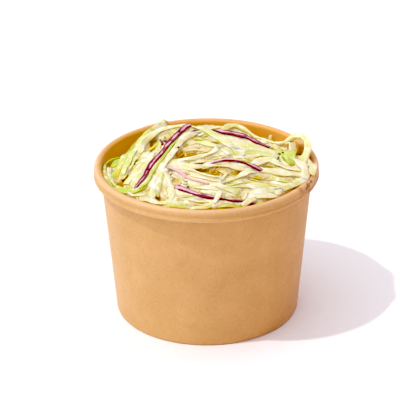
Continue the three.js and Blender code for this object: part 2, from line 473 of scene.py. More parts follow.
class Pile:
    """What lies in the pot so far, as a height over each cell, and the shreds of each kind."""

    def __init__(self, heights):
        self.bed = heights.copy()
        self.lid = np.full(heights.shape, np.inf)  # underside of the strands that press others down
        self.shreds = {}

    def rest(self, path, width):
        """How high a shred's sections rest, and how far they lean over, as a slope."""
        side = sideways(path[:, 0], path[:, 1])
        offsets = RESTING * width
        x = path[:, 0, None] + side[:, 0, None] * offsets
        y = path[:, 1, None] + side[:, 1, None] * offsets
        under = self.bed[nearest(x, y)]
        slope = (under[:, 3:].max(1) - under[:, :2].max(1)) / (RESTING_APART * width)
        slope = np.clip(slope, -LEAN, LEAN)
        slope = np.convolve(np.pad(slope, 2, mode="edge"), np.ones(5) / 5, "valid")
        floor = (under - slope[:, None] * offsets).max(1)
        height = np.full(len(floor), floor.max())
        for _ in range(SETTLING):
            before = np.concatenate([[height[0] - SAG], height[:-1]])
            after = np.concatenate([height[1:], [height[-1] - SAG]])
            height = np.maximum(floor, (before + after) / 2 - SAG)
        padded = np.pad(height, 1, mode="edge")
        return (padded[:-2] + 2 * padded[1:-1] + padded[2:]) / 4, slope

    def lay(self, kind, **shred):
        """Adds a shred whose middle follows its path, and raises the bed to its upper side."""
        self.shreds.setdefault(kind, []).append(shred)
        way = distance_along(shred["path"])
        fine = np.linspace(0, way[-1], max(2, int(way[-1] / LAY_STEP)))
        x, y, z = (np.interp(fine, way, shred["path"][:, k]) for k in range(3))
        slope = np.interp(fine, way, shred["slope"])
        side = sideways(x, y) * shred["width"] / 2
        for share in LAID:
            middle = z + slope * share * shred["width"] / 2
            half = shred["thick"] / 2 * math.sqrt(1 - share**2)
            cells = nearest(x + side[:, 0] * share, y + side[:, 1] * share)
            np.maximum.at(self.bed, cells, middle + half)
            if not shred["pressed"]:
                np.minimum.at(self.lid, cells, middle - PRESSES * half)


# Two flows of shreds: arcs round a far centre on the left, and round another on the rest.
LEFT_CENTRE = (-130, 60)
REST_CENTRE = (10, -90)
SPLIT_X, SPLIT_LEAN, SPLIT_BLEND = -7, 0.35, 9


def flow(x, y):
    """Direction of the shreds at a place, in radians. It has no forward or backward."""
    left = float(smooth_step((SPLIT_X + SPLIT_LEAN * y - x) / SPLIT_BLEND + 0.5))
    total = 0
    for (centre_x, centre_y), share in ((LEFT_CENTRE, left), (REST_CENTRE, 1 - left)):
        total += share * np.exp(2j * (math.atan2(y - centre_y, x - centre_x) + math.pi / 2))
    return float(np.angle(total)) / 2


# Change of heading at each step, in radians, and the share of it that carries over to the next.
DRIFT, DRIFT_KEPT = 0.035, 0.85
# Share of the way by which each step turns a shred to the flow, or to the wall that it meets.
FLOW_PULL, WALL_PULL = 0.12, 0.5


def wander(rng, x, y, length, offset, bend, margin):
    """A shred's way over the heap, grown both ways from a place. It follows the flow at an offset, bends
    and wavers, and slides along the wall where it meets it."""
    halves = []
    for way in (0, math.pi):
        heading = flow(x, y) + offset + way
        here = np.array([x, y], float)
        points = [here]
        drift = 0.0
        for _ in range(int(length / 2 / STEP)):
            drift = DRIFT_KEPT * drift + rng.normal(0, DRIFT)
            heading += FLOW_PULL * math.remainder(flow(*here) + offset - heading, math.pi)
            heading += bend * STEP * (-1 if way else 1) + drift
            here = here + STEP * np.array([math.cos(heading), math.sin(heading)])
            out = math.hypot(*here)
            if out > margin:
                tangent = math.atan2(here[1], here[0]) + math.pi / 2
                heading += WALL_PULL * math.remainder(tangent - heading, math.pi)
                here = here * margin / out
            points.append(here)
        halves.append(points)
    return np.array(halves[1][:0:-1] + halves[0])


# Kinds of cut: wide thin leaf, fine shreds, thick pale rib and the usual shred. Each has the share of all
# shreds up to it, its widths and thicknesses in mm, and the share of its tone that it keeps.
CUTS = (
    (0.16, (3.4, 5.6), (0.5, 0.65), 1),
    (0.42, (1.0, 1.6), (0.55, 0.8), 1),
    (0.52, (1.8, 2.4), (1.0, 1.3), 0.4),
    (1.0, (1.6, 2.8), (0.6, 0.85), 1),
)
# Tone goes from 0, creamy white from the heart, to 1, green from the outside leaves.
TONE_CURVE = (1.2, 2.6)  # shape of the beta distribution that it is drawn from
GREENER, GREENER_LEFT = 0.25, (15, 35)  # how much it rises on the left, between these mm from the axis
HEART_BELOW, LEAF_BELOW = 0.25, 0.55


def kind_of_shred(rng, x):
    """Width, thickness and tone of a shred."""
    pick = rng.random()
    tone = float(np.clip(rng.beta(*TONE_CURVE) + GREENER * smooth_step(-x, *GREENER_LEFT), 0, 1))
    for share, widths, thicknesses, kept in CUTS:
        if pick < share:
            return rng.uniform(*widths), rng.uniform(*thicknesses), tone * kept


def cabbage_kind(tone):
    return "heart" if tone < HEART_BELOW else "leaf" if tone < LEAF_BELOW else "outer"


JUMBLED_BEFORE = -22  # in front of this the shreds lie all ways and have this share of their length
JUMBLED_LENGTH = 0.55
OFFSET, JUMBLED_OFFSET = 0.28, 0.9  # radians between a shred and the flow
BEND = 0.012  # radians for each mm
STREWN_WITHIN, ENDS_WITHIN = 40, 41.0  # mm from the axis
SIDE_WITHIN = 0.45  # share of a shred's width that has to stay within too
CURL, TOP_CURL = (-0.1, 0.3), (0.0, 0.3)  # hollow of a shred's section, as a share of its thickness
PLACES = 14  # of which the lowest takes the shred
TRIES = 6  # for each shred that is wanted
CROWDED = 0.7  # mm that a shred may stand above the wanted height, and
CROWDED_SHARE = 0.1  # the share of its length that may stand higher


def strew(pile, rng, wanted, count, lengths, slim, pressed):
    """Lays loose shreds where the pile is still lowest, until it is as high as wanted."""
    for _ in range(TRIES * count):
        radius = STREWN_WITHIN * np.sqrt(rng.random(PLACES))
        azimuth = rng.uniform(-math.pi, math.pi, PLACES)
        x, y = radius * np.cos(azimuth), radius * np.sin(azimuth)
        best = int(np.argmax(wanted[nearest(x, y)] - pile.bed[nearest(x, y)]))
        width, thick, tone = kind_of_shred(rng, x[best])
        width *= slim
        jumbled = y[best] < JUMBLED_BEFORE
        length = rng.uniform(*lengths) * (JUMBLED_LENGTH if jumbled else 1)
        offset = rng.normal(0, JUMBLED_OFFSET if jumbled else OFFSET)
        margin = ENDS_WITHIN - SIDE_WITHIN * width
        path = wander(rng, x[best], y[best], length, offset, rng.normal(0, BEND), margin)
        height, slope = pile.rest(path, width)
        path = np.column_stack([path, height + thick / 2 - BED_IN])
        too_high = path[:, 2] + thick / 2 > wanted[nearest(path[:, 0], path[:, 1])] + CROWDED
        if too_high.mean() > CROWDED_SHARE:
            continue
        look = {"tone": tone, "curl": rng.uniform(*CURL), "pressed": pressed}
        pile.lay(cabbage_kind(tone), path=path, width=width, thick=thick, slope=slope, **look)
        count -= 1
        if count == 0:
            break


# Strands that lie on top, in the order in which they are laid: width, thickness, tone or the tones of
# both ends, and places along the middle, in mm.
CABBAGE_STRANDS = (
    # Left side, from the low leaf at the wall inwards.
    (2.8, 0.6, 0.7, ((-41.5, 4, 61), (-38.5, 7, 61.4), (-34.5, 9, 61.8), (-31, 9.5, 62.5))),
    (2.8, 0.6, 1.0, ((-38.5, 2.5, 60), (-36, 5.5, 60.5), (-33, 7, 60.8))),
    (1.7, 0.7, 0.7, ((-41, 5, 60), (-40.5, -5, 61), (-38, -15.5, 61.5), (-33.5, -22.5, 62))),
    (2.2, 0.7, 0.5, ((-39, 2.5, 61), (-38, -9.5, 62), (-36, -17.5, 62), (-30.5, -25.5, 62.3))),
    (3.2, 0.7, 0.2, (
        (-24, 8, 65), (-24, 0, 65.5), (-25, -6, 65.3), (-28, -11.5, 64.5), (-31.5, -18.5, 63),
    )),
    (2.8, 0.8, 0.1, ((-21.5, 5, 65.6), (-22.5, -3.5, 66), (-24, -10, 65.5), (-29, -20.5, 63.3))),
    (2.2, 0.7, 0.3, ((-28, 4, 65), (-29.5, -4, 64.5), (-31.5, -8.5, 64), (-33, -13.5, 63.3))),
    (3.2, 0.7, 0.9, (
        (-16.5, 39, 65.3), (-20.5, 32, 65), (-26, 26, 63.5), (-29.5, 18.5, 62.5), (-32.5, 8, 62.5),
        (-35, -3, 62.3), (-36.5, -11.5, 61.7),
    )),
    (2.8, 0.8, 0.6, (
        (-16.5, 34.5, 66), (-22.5, 26.5, 65.5), (-26.5, 18.5, 65), (-29, 9, 64.6), (-31, -0.5, 64.4),
        (-33, -11.5, 63.5),
    )),
    (2.8, 0.8, 0.15, (
        (-26.5, 6, 65.5), (-25.5, 14, 65.6), (-22.5, 20.5, 66), (-18, 26, 66.4), (-11.5, 28.5, 66.7),
        (-4.5, 28, 67),
    )),
    (1.8, 0.7, 0.5, ((-17.5, 22, 66), (-18.5, 14, 66), (-19.5, 6.5, 65.6), (-20, 0.5, 65.2))),
    (1.6, 0.7, 0.9, ((-17, 28.5, 65.8), (-15, 28.5, 66.2), (-13, 28, 66.3))),
    (2.6, 0.7, 0.95, (
        (-19.5, -7.5, 66.2), (-21.5, -16.5, 65.3), (-24, -23, 64), (-28, -26.5, 62.5), (-34, -22.5, 61.7),
        (-36.5, -17.5, 61.5),
    )),
    # Middle, from the back to the front.
    (3.2, 0.8, 0.15, (
        (9.5, 29.5, 66), (2.5, 27, 66.5), (-3.5, 22.5, 66.7), (-8, 17.5, 67), (-12.5, 6.5, 67.3),
    )),
    (5.5, 0.6, 0.05, ((3, 16.5, 67.3), (8, 13, 67.4), (13.5, 9, 67.3), (18.5, 4.5, 66.8))),
    (8.0, 0.6, 0.4, ((7, -1.5, 67.5), (14, 1.5, 67.6), (21.5, 2, 67.2), (29, -1, 66.4))),
    (3.8, 0.7, 0.3, (
        (-5.5, 29, 66.5), (1, 22, 67), (6, 13.5, 67.5), (10.5, 4.5, 67.8), (14.5, -2.5, 67.6),
    )),
    (2.4, 0.7, 0.2, ((-7, 9, 67.7), (-2, 9, 68), (4.5, 4, 68.4), (9.5, -2.5, 68.5))),
    (2.4, 0.7, 0.1, (
        (-14, -8.5, 67.2), (-10.5, -6.5, 67.5), (-5, -6, 68), (2, -1.5, 68.3), (6.5, 5.5, 68),
    )),
    (2.2, 0.7, 0.1, ((-15, -8.5, 67), (-10, -10.5, 67.3), (-4, -13, 67.7), (4.5, -12.5, 68))),
    (2.8, 0.7, 0.3, ((-2, -13.5, 67.4), (6.5, -12, 67.8), (13.5, -14, 67.3), (20.5, -12.5, 66.7))),
    (3.4, 0.8, 0.1, (
        (17.5, -10.5, 67.2), (24.5, -5.5, 66.8), (29, -8, 66), (34, -11, 65.3), (39, -11.5, 64.8),
    )),
    (2.4, 0.7, 0.15, (
        (-11.5, -11.5, 67), (-6, -15.5, 67.6), (-2, -18.5, 67.4), (4, -21.5, 67.2), (9.5, -21, 67),
    )),
    (2.2, 0.7, 0.1, ((-7.5, -18.5, 67), (-3.5, -21, 67.1), (3, -24, 66.7), (9.5, -24.5, 66.3))),
    (3.6, 0.8, 0.15, (
        (6.5, -24, 66.5), (13, -20.5, 66.8), (16.5, -16.5, 67.1), (21, -15, 66.9), (27.5, -15, 66),
        (37.5, -15.5, 64.5),
    )),
    (4.2, 0.7, 0.25, ((7.5, -27.5, 66), (16.5, -26.5, 65.8), (22.5, -27.5, 65), (29.5, -28, 63.9))),
    (7.0, 0.6, 0.0, ((13, -33, 63.8), (20, -31.5, 63.7), (27, -29, 63.3))),
    (2.4, 0.7, 0.6, ((-3, -30, 65.2), (5, -28, 65.9), (11.5, -26, 65.9), (17.5, -23.5, 65.8))),
    (2.4, 0.7, 0.5, ((25.5, -18.5, 65.6), (29.5, -20, 65), (33.5, -20.5, 64.2))),
    (2.6, 0.7, 0.4, ((26.5, -28.5, 63.8), (33, -23.5, 64), (38, -18, 63.8), (40, -12, 64.2))),
    (2.6, 0.8, 0.1, (
        (-3.5, 22, 67), (-9.5, 12.5, 67.5), (-13, 1.5, 67.6), (-16.5, -9, 67), (-18.5, -15.5, 66.3),
        (-20, -22.5, 65.2), (-20.5, -29.5, 64.2), (-21, -33.5, 63.3),
    )),
    (1.1, 0.7, 1.0, (
        (-10.5, 14.5, 67.9), (-13, 8.5, 67.9), (-15.5, 1, 67.8), (-20, -12, 66.9), (-21.5, -16.5, 66.2),
        (-23, -22, 65.2), (-26, -25.5, 64),
    )),
    (1.8, 0.7, 0.4, ((-14.5, -10.5, 67.2), (-17, -17.5, 66.3), (-18.5, -25.5, 65), (-19, -31.5, 63.8))),
    (2.0, 0.7, 0.15, ((-12, -26.5, 65.8), (-6, -27, 66), (0, -29, 65.8), (8.5, -31, 65.3))),
    (2.0, 0.7, 0.1, ((-16, -14.5, 66.8), (-14.5, -21.5, 66.1), (-13, -31, 64.7), (-14.5, -36, 63.3))),
    (2.4, 0.7, 0.15, ((-25, -31.5, 62.9), (-19.5, -35.5, 62.9), (-12, -37, 63), (-4, -39, 62.9))),
    (2.0, 0.6, 0.7, ((-17, -37.5, 62.6), (-11, -38.5, 62.6), (-5, -39, 62.8))),
    (2.2, 0.7, 0.1, ((-10, -34, 64.2), (-3, -36, 64.2), (5, -38, 64), (12.5, -38, 63.6))),
    (2.0, 0.6, 0.6, ((3, -39.5, 63), (10.5, -39.5, 63), (17.5, -37.5, 62.9))),
    (2.2, 0.7, 1.0, ((17.5, -37, 63), (20, -36.5, 63.3), (22.5, -36, 63.2))),
    (1.2, 0.7, 1.0, ((-5, 14.5, 68), (-2.5, 12, 68.2), (1, 10, 68.3))),
    # Right side: the strand that loops over the rim, a green leaf and strands on the rim.
    (2.7, 1.6, 0.3, (
        (6.5, 24, 66.3), (9, 28, 66.2), (12.5, 29.5, 66), (16, 27.5, 65.2), (21.5, 21, 63.8),
        (27.5, 17, 62.5), (31, 16, 64), (35, 16, 66.8), (38, 13.5, 68.4), (40.5, 8.5, 68.6),
        (40.5, 2.5, 67.4), (39, -4, 65.7), (38.5, -9, 64.5),
    )),
    (4.0, 0.8, 0.0, ((32.5, 18, 63.4), (34, 14, 64.2), (35, 10, 64.5), (34.5, 6, 64.6))),
    (5.4, 1.0, 1.0, ((32, 5, 66), (32.5, 1, 66.9), (33, -4, 67), (34.5, -8, 66))),
    (3.6, 1.0, 0.0, ((34, -1.5, 65.2), (37, -6.5, 65.3), (39, -12, 64.6), (38.5, -17.5, 63.9))),
    (3.0, 0.9, 0.0, ((38.5, 0.5, 65), (41, -4.5, 64.8), (42, -9.5, 64.2), (41.2, -14, 63.9))),
)
RED_STRANDS = (
    (2.1, 0.7, (0.54, 0.42), (
        (-6.5, 28, 68.3), (-10, 21, 68.1), (-14.5, 10.5, 67.9), (-18, -0.5, 67.7), (-22, -9, 66.6),
        (-24.5, -18, 65), (-27.5, -24.5, 63.8),
    )),
    (1.1, 0.6, 0.0, ((-18.5, 17, 66.7), (-18, 14, 66.7), (-17.5, 11, 66.7))),
    (1.0, 0.6, 0.0, ((-17, 15.5, 66.9), (-16.5, 14.5, 67), (-15.5, 13.5, 67))),
    (1.9, 0.6, 0.9, ((-6.5, 22.5, 67.2), (-4.5, 24, 67.5), (-2.5, 24.5, 67.4))),
    (2.5, 0.8, (0.54, 0.42), (
        (3, 24, 67.5), (7, 20, 67.7), (11.5, 18, 67.9), (16.5, 14.5, 67.8), (21.5, 8.5, 67.7),
        (25.5, 6.5, 67.5),
    )),
    (1.0, 0.7, 0.0, ((-5.5, -10.5, 68), (-2, -11.5, 68.4), (1, -11, 68.6))),
    (2.7, 0.8, (1.0, 0.45), (
        (0, -11.5, 68.6), (4.5, -10.5, 68.7), (7.5, -9.5, 68.9), (12.5, -10.5, 69), (17.5, -13.5, 68.4),
        (21.5, -16, 67.8),
    )),
    (0.9, 0.6, 1.0, ((-7.5, -23.5, 67.1), (-10, -25, 66.6), (-11.5, -27, 66.1))),
    (2.4, 0.7, 1.0, ((-15.5, -11, 67.1), (-13, -14, 67.5), (-10, -18, 67.7), (-7.5, -22, 67.5))),
    (1.0, 0.5, 1.0, ((-9, -19.5, 67.4), (-6.5, -23, 67.3), (-3, -25, 67.1), (1, -26, 66.9))),
    (2.5, 0.8, (0.64, 0.4), (
        (-12, -26.5, 66.1), (-8, -31, 66.1), (-2.5, -34.5, 65.8), (4, -36.5, 65.3), (10, -37.5, 64.6),
        (15, -37.5, 63.7), (18.5, -37, 63),
    )),
)
# Small white bits across the red ones.
CROSSING_BITS = (
    (1.9, 0.9, 0.0, ((2.5, -39.5, 65), (4.5, -37, 66.6), (5.5, -32.5, 67))),
    (2.2, 0.9, 0.0, ((13.5, -40, 63.4), (16.5, -37.5, 64.8), (19, -35, 64.9))),
    (1.3, 0.7, 0.0, ((5.5, -25, 67.2), (7.5, -21, 68), (8.5, -18, 68))),
)


SPLINE_POINTS = 16  # between two places, before they are spaced evenly
FEWEST_STEPS = 5


def spline(places, step):
    """Smooth line through the places, with a point at about every step."""
    p = np.asarray(places, float)
    p = np.concatenate([[2 * p[0] - p[1]], p, [2 * p[-1] - p[-2]]])
    t = np.linspace(0, 1, SPLINE_POINTS, endpoint=False)[:, None]
    parts = []
    for a, b, c, d in zip(p[:-3], p[1:-2], p[2:-1], p[3:]):
        curved = (a - 2.5 * b + 2 * c - d / 2) * t**2 + (1.5 * (b - c) + (d - a) / 2) * t**3
        parts.append(b + (c - a) * t / 2 + curved)
    dense = np.concatenate([*parts, p[-2:-1]])
    way = distance_along(dense)
    at = np.linspace(0, way[-1], max(FEWEST_STEPS, round(way[-1] / step)) + 1)
    return np.stack([np.interp(at, way, dense[:, k]) for k in range(3)], -1)


PUSHED_UP, SUNK = 0.3, 0.6  # mm that a top strand may lie above its places, and below them
END_DIP, END_RUN = 0.7, 4.0  # mm that its ends go down into the bed, and the length over which they do
EASING = (0.1, 0.2, 0.4, 0.2, 0.1)  # weights that smooth its heights


def lay_top_strands(pile, rng, strands, kind=None):
    for width, thick, tone, places in strands:
        path = spline(places, STEP)
        height, slope = pile.rest(path, width)
        resting = height + thick / 2 - BED_IN
        path[:, 2] = np.clip(resting, path[:, 2] - SUNK, path[:, 2] + PUSHED_UP)
        way = distance_along(path)
        path[:, 2] -= END_DIP * (1 - smooth_step(np.minimum(way, way[-1] - way), 0, END_RUN))
        path[:, 2] = np.convolve(np.pad(path[:, 2], 2, mode="edge"), EASING, "valid")
        look = {"tone": tone, "curl": rng.uniform(*TOP_CURL), "pressed": False}
        pile.lay(kind or cabbage_kind(tone), path=path, width=width, thick=thick, slope=slope, **look)


# Waves along a shred: their height, and mm of length for each radian. Those of its width, thickness and
# surface are shares of its own, and that of its twist is in radians.
TWIST, TWIST_RUN = 0.22, (4, 9)
WIDTH_WAVES = ((0.06, 3.1), (0.04, 1.3))
THICK_WAVE = (0.10, 2.3)
RIPPLE, RIPPLE_RUN, RIPPLE_SLANT = 0.05, 1.7, 2.5
LATEST_START = 6  # radians
# The share of its width and thickness that a cut end has, and how far from it they are full: in widths,
# and in mm.
END_WIDTH, END_WIDTH_RUN = 0.75, 0.6
END_THICK, END_THICK_RUN = 0.7, 1.5
SQUARE_ACROSS, SQUARE_UP = 0.6, 0.5  # powers: 1 makes a section oval, and less makes it squarer
CURL_MIDDLE = 0.4  # keeps a hollowed section at its height


def shred_mesh(rng, shred):
    """Points, faces, mapped corners, tones and underside depths for painted shade of one shred. Its
    section is a flattened round that is hollowed like a gutter, and its width, thickness and twist waver
    along it."""
    path, thick = shred["path"], shred["thick"]
    way = distance_along(path)
    along = np.gradient(path, axis=0)
    along /= np.linalg.norm(along, axis=1)[:, None]
    side = np.column_stack([sideways(path[:, 0], path[:, 1]), shred["slope"]])
    side /= np.linalg.norm(side, axis=1)[:, None]
    normal = np.cross(along, side)
    start = rng.uniform(0, LATEST_START, 5)
    twist = TWIST * np.sin(way / rng.uniform(*TWIST_RUN) + start[0])[:, None]
    side, normal = (
        side * np.cos(twist) + normal * np.sin(twist),
        normal * np.cos(twist) - side * np.sin(twist),
    )
    end = np.minimum(way, way[-1] - way)
    waves = (share * np.sin(way / run + start[k]) for k, (share, run) in enumerate(WIDTH_WAVES, 1))
    full = smooth_step(end, 0, shred["width"] * END_WIDTH_RUN)
    width = shred["width"] * sum(waves, 1) * (END_WIDTH + (1 - END_WIDTH) * full)
    share, run = THICK_WAVE
    full = smooth_step(end, 0, END_THICK_RUN)
    deep = thick * (1 + share * np.sin(way / run + start[3])) * (END_THICK + (1 - END_THICK) * full)
    angle = (np.arange(SECTION) + 0.5) * 2 * math.pi / SECTION
    across = np.sign(np.cos(angle)) * np.abs(np.cos(angle)) ** SQUARE_ACROSS
    up = np.sign(np.sin(angle)) * np.abs(np.sin(angle)) ** SQUARE_UP
    ripple = RIPPLE * np.sin(way[:, None] / RIPPLE_RUN + start[4] + RIPPLE_SLANT * across)
    rise = deep[:, None] * (up / 2 + shred["curl"] * (across**2 - CURL_MIDDLE) + ripple)
    out = across * width[:, None] / 2
    points = path[:, None] + out[..., None] * side[:, None] + rise[..., None] * normal[:, None]
    rung = np.arange(SECTION // 2 - 1)
    cap = np.stack([rung, rung + 1, SECTION - 2 - rung, SECTION - 1 - rung], -1)
    far_cap = cap + (len(path) - 1) * SECTION
    quads = [grid_quads(len(path), SECTION, wrap_columns=True), cap[:, ::-1], far_cap]
    maps = [grid_map(way, np.append(across, across[0]))]
    maps.append(np.stack([np.zeros(cap.shape), across[cap[:, ::-1]]], -1))
    maps.append(np.stack([np.full(cap.shape, way[-1]), across[cap]], -1))
    under = UNDER_DEPTH * np.tile((1 - up) / 2, len(path))
    tones = np.repeat(np.interp(way, (0, way[-1]), np.broadcast_to(shred["tone"], 2)), SECTION)
    return points.reshape(-1, 3), np.concatenate(quads), np.concatenate(maps), tones, under


BURIED = 0.97  # share of a shred's points under the core's top, past which it is left out
VEIN_SHIFT = 400  # mm within which each shred's pattern is shifted, so that no two are alike


def gather(rng, name, shreds, material):
    """Joins the shreds of a kind into one piece, without those that lie wholly under the core's top."""
    parts, count = [], 0
    for shred in shreds:
        points, quads, corners, tones, under = shred_mesh(rng, shred)
        cells = nearest(points[:, 0], points[:, 1])
        if shred["pressed"]:
            points[:, 2] = np.minimum(points[:, 2], pile.lid[cells])
        if (points[:, 2] < core_top[cells]).mean() > BURIED:
            continue
        parts.append((points, quads + count, corners + (rng.uniform(0, VEIN_SHIFT), 0), tones, under))
        count += len(points)
    points, quads, corners, tones, under = map(np.concatenate, zip(*parts))
    within = np.minimum(1, (wall_inside(points[:, 2]) - PLAY) / np.hypot(points[:, 0], points[:, 1]))
    in_pot = points[:, 2] < HEIGHT - ROLL_START
    points[in_pot, :2] *= within[in_pot, None]
    # Depth below the heap's top, more on undersides: the materials paint shade by it.
    depth = ceiling[nearest(points[:, 0], points[:, 1])] - points[:, 2] + under
    numbers = {"tone": tones, "depth": depth}
    piece = make_piece(name, points, quads, material, {"shred": corners}, numbers)
    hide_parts("coleslaw")


# ---- materials of the food

VEIN_LENGTH, VEIN_WIDTH = 9.0, 0.24  # mm along a shred, and share of its half width
VEIN_RELIEF = 0.2  # mm
DEEP_FROM, DEEP_TO = 0.65, 2.9  # mm below the top where painted shade begins on shreds, and where it is full
WHITE_BLOTCH, RED_BLOTCH, BLOTCH_WIDTH = 14.0, 4.2, 1.4  # mm along a shred, and share of its half width
COAT_PATCH = 4.0  # mm across the places where dressing clings
SOFT_LIGHT = (1.0, 0.95, 0.8)  # how far red, green and blue light go in, as shares of its reach
# The last colour of each cabbage is painted shade, for the lower and under sides of shreds.
WHITE = palette(heart="#e6dcb2", leaf="#c9cd66", outer="#b0c044", coat="#efe8d4", steeped="#deb81c")
RED = palette(skin="#840f27", flesh="#dcabbc", pink="#e6b2b4", steeped="#4a1418")
VEINS_TURN = 1.6  # how much the veins turn a shred's tone
LIME_SHEDS = -0.6  # how much less dressing clings where a shred is lime
SKIN_TONE, FLESH_FRAYED = 0.8, 0.5  # weights of tone in where skin ends, and of veins at the flesh's edge
# The dressing's second colour is painted shade in the hollows between the shreds.
DRESSING = palette(creamy="#ebe2b8", thin="#c69b12")
DRESSING_LUMP, DRESSING_RELIEF = 1.6, 0.3  # mm
LUMPS_THIN = 0.35  # how much its lumps change its painted shade
THIN_FROM, THIN_TO = 1.3, 3.0  # mm below the top where painted shade on the dressing begins, and where it is full
HUSK = palette(whole="#2a1c0c", split="#6b4f22")
HUSK_SPLIT, HUSK_RELIEF = 0.5, 0.1  # mm


def shred_fields(tree, blotch):
    """What both cabbages are coloured by: a shred's tone and depth, how near a place is to its cut edge,
    the veins along it, and blotches of this length in mm."""
    place = add(tree, "UVMap", {}, uv_map="shred")
    across = add(tree, "SeparateXYZ", {0: place}, out="Y")
    fields = {"edge": add(tree, "Math", {0: across}, operation="ABSOLUTE")}
    for name in ("tone", "depth"):
        fields[name] = add(tree, "Attribute", {}, attribute_name=name)
    patterns = (("veins", VEIN_LENGTH, VEIN_WIDTH, 3.0), ("patchy", blotch, BLOTCH_WIDTH, 2.0))
    for name, long, wide, detail in patterns:
        stretched = add(tree, "Mapping", {"Vector": place, "Scale": (long, wide, 1)})
        fields[name] = add(tree, "TexNoise", {"Vector": stretched, "Scale": 1.0, "Detail": detail})
    return fields


def let_in(share, reach):
    """Settings of the share of light that goes in, and how far in mm."""
    return {"Subsurface Weight": share, "Subsurface Radius": SOFT_LIGHT, "Subsurface Scale": reach * MM}


def wet_leaf(tree, fields, colour, steeped, scatter, reach):
    """The surface that both cabbages have: colour darkened and yellowed lower down and on the underside
    as painted shade, veins in relief, light let in, and a glossy film of dressing."""
    deep = add(tree, "MapRange", {"Value": fields["depth"], FROM_LOW: DEEP_FROM, FROM_HIGH: DEEP_TO})
    colour = add(tree, "Mix", {SHARE: deep, FIRST: colour, SECOND: steeped})
    gloss = {"Roughness": 0.36, "IOR": 1.36, "Coat Weight": 0.3, "Coat Roughness": 0.2}
    finish = {**gloss, **let_in(scatter, reach)}
    add_surface(tree, colour, fields["veins"], finish, strength=0.45, depth=VEIN_RELIEF)


def white_cabbage_material():
    """White cabbage cut with a knife and dressed. Shreds go from creamy at the heart to yellow-green with
    lime edges at the outside leaves. Dressing clings to them in pale patches."""
    material, tree = new_material("white_cabbage_cut_dressed")
    fields = shred_fields(tree, WHITE_BLOTCH)
    toned = add(tree, "Math", {0: fields["tone"], 1: fields["patchy"]}, operation="ADD")
    toned = add(tree, "Math", {0: fields["veins"], 1: VEINS_TURN, 2: toned}, operation="MULTIPLY_ADD")
    leafy = add(tree, "MapRange", {"Value": toned, FROM_LOW: 1.25, FROM_HIGH: 1.95})
    colour = add(tree, "Mix", {SHARE: leafy, FIRST: WHITE["heart"], SECOND: WHITE["leaf"]})
    rim = add(tree, "MapRange", {"Value": fields["edge"], FROM_LOW: 0.6, FROM_HIGH: 0.95, TO_HIGH: 0.3})
    greener = add(tree, "Math", {0: toned, 1: rim}, operation="ADD")
    lime = add(tree, "MapRange", {"Value": greener, FROM_LOW: 2.1, FROM_HIGH: 2.5})
    colour = add(tree, "Mix", {SHARE: lime, FIRST: colour, SECOND: WHITE["outer"]})
    where = add(tree, "TexCoord", {}, out="Object")
    clings = add(tree, "TexNoise", {"Vector": where, "Scale": 1 / (COAT_PATCH * MM), "Detail": 3.0})
    clings = add(tree, "Math", {0: lime, 1: LIME_SHEDS, 2: clings}, operation="MULTIPLY_ADD")
    coated = add(tree, "MapRange", {"Value": clings, FROM_LOW: 0.5, FROM_HIGH: 0.6, TO_HIGH: 0.8})
    colour = add(tree, "Mix", {SHARE: coated, FIRST: colour, SECOND: WHITE["coat"]})
    wet_leaf(tree, fields, colour, WHITE["steeped"], scatter=0.75, reach=1.8)
    return material


def red_cabbage_material():
    """Red cabbage cut with a knife. The cut shows purple skin as two dark edges with pale flesh between
    them, which runs out where the skin covers the whole shred."""
    material, tree = new_material("red_cabbage_cut")
    fields = shred_fields(tree, RED_BLOTCH)
    weights = {0: fields["tone"], 1: SKIN_TONE, 2: fields["patchy"]}
    toned = add(tree, "Math", weights, operation="MULTIPLY_ADD")
    bare = add(tree, "MapRange", {"Value": toned, FROM_LOW: 0.75, FROM_HIGH: 0.95, TO_LOW: -0.1})
    widest = add(tree, "MapRange", {"Value": fields["tone"], FROM_LOW: 0.4, TO_LOW: 0.31, TO_HIGH: 1.1})
    reach = add(tree, "Math", {0: bare, 1: widest}, operation="MULTIPLY")
    within = add(tree, "Math", {0: reach, 1: fields["edge"]}, operation="SUBTRACT")
    within = add(tree, "Math", {0: fields["veins"], 1: FLESH_FRAYED, 2: within}, operation="MULTIPLY_ADD")
    fleshy = add(tree, "MapRange", {"Value": within, FROM_LOW: 0.2, FROM_HIGH: 0.32})
    pinkness = add(tree, "MapRange", {"Value": fields["tone"], FROM_LOW: 0.6, FROM_HIGH: 1.0})
    flesh = add(tree, "Mix", {SHARE: pinkness, FIRST: RED["flesh"], SECOND: RED["pink"]})
    colour = add(tree, "Mix", {SHARE: fleshy, FIRST: RED["skin"], SECOND: flesh})
    wet_leaf(tree, fields, colour, RED["steeped"], scatter=0.1, reach=0.3)
    return material


def dressing_material():
    """Oil and egg dressing with cabbage juice. It is creamy and glossy, and painted shade turns it darker
    and yellow lower down between the shreds."""
    material, tree = new_material("creamy_dressing_poured")
    depth = add(tree, "Attribute", {}, attribute_name="depth")
    place = add(tree, "TexCoord", {}, out="Object")
    lumps = add(tree, "TexNoise", {"Vector": place, "Scale": 1 / (DRESSING_LUMP * MM), "Detail": 3.0})
    thin = add(tree, "MapRange", {"Value": depth, FROM_LOW: THIN_FROM, FROM_HIGH: THIN_TO})
    uneven = add(tree, "Math", {0: lumps, 1: LUMPS_THIN, 2: thin}, operation="MULTIPLY_ADD")
    share = add(tree, "MapRange", {"Value": uneven, FROM_LOW: 0.2, FROM_HIGH: 1.1})
    colour = add(tree, "Mix", {SHARE: share, FIRST: DRESSING["creamy"], SECOND: DRESSING["thin"]})
    finish = {"Roughness": 0.2, "IOR": 1.46, **let_in(share=0.6, reach=1.5)}
    add_surface(tree, colour, lumps, finish, strength=0.5, depth=DRESSING_RELIEF)
    return material


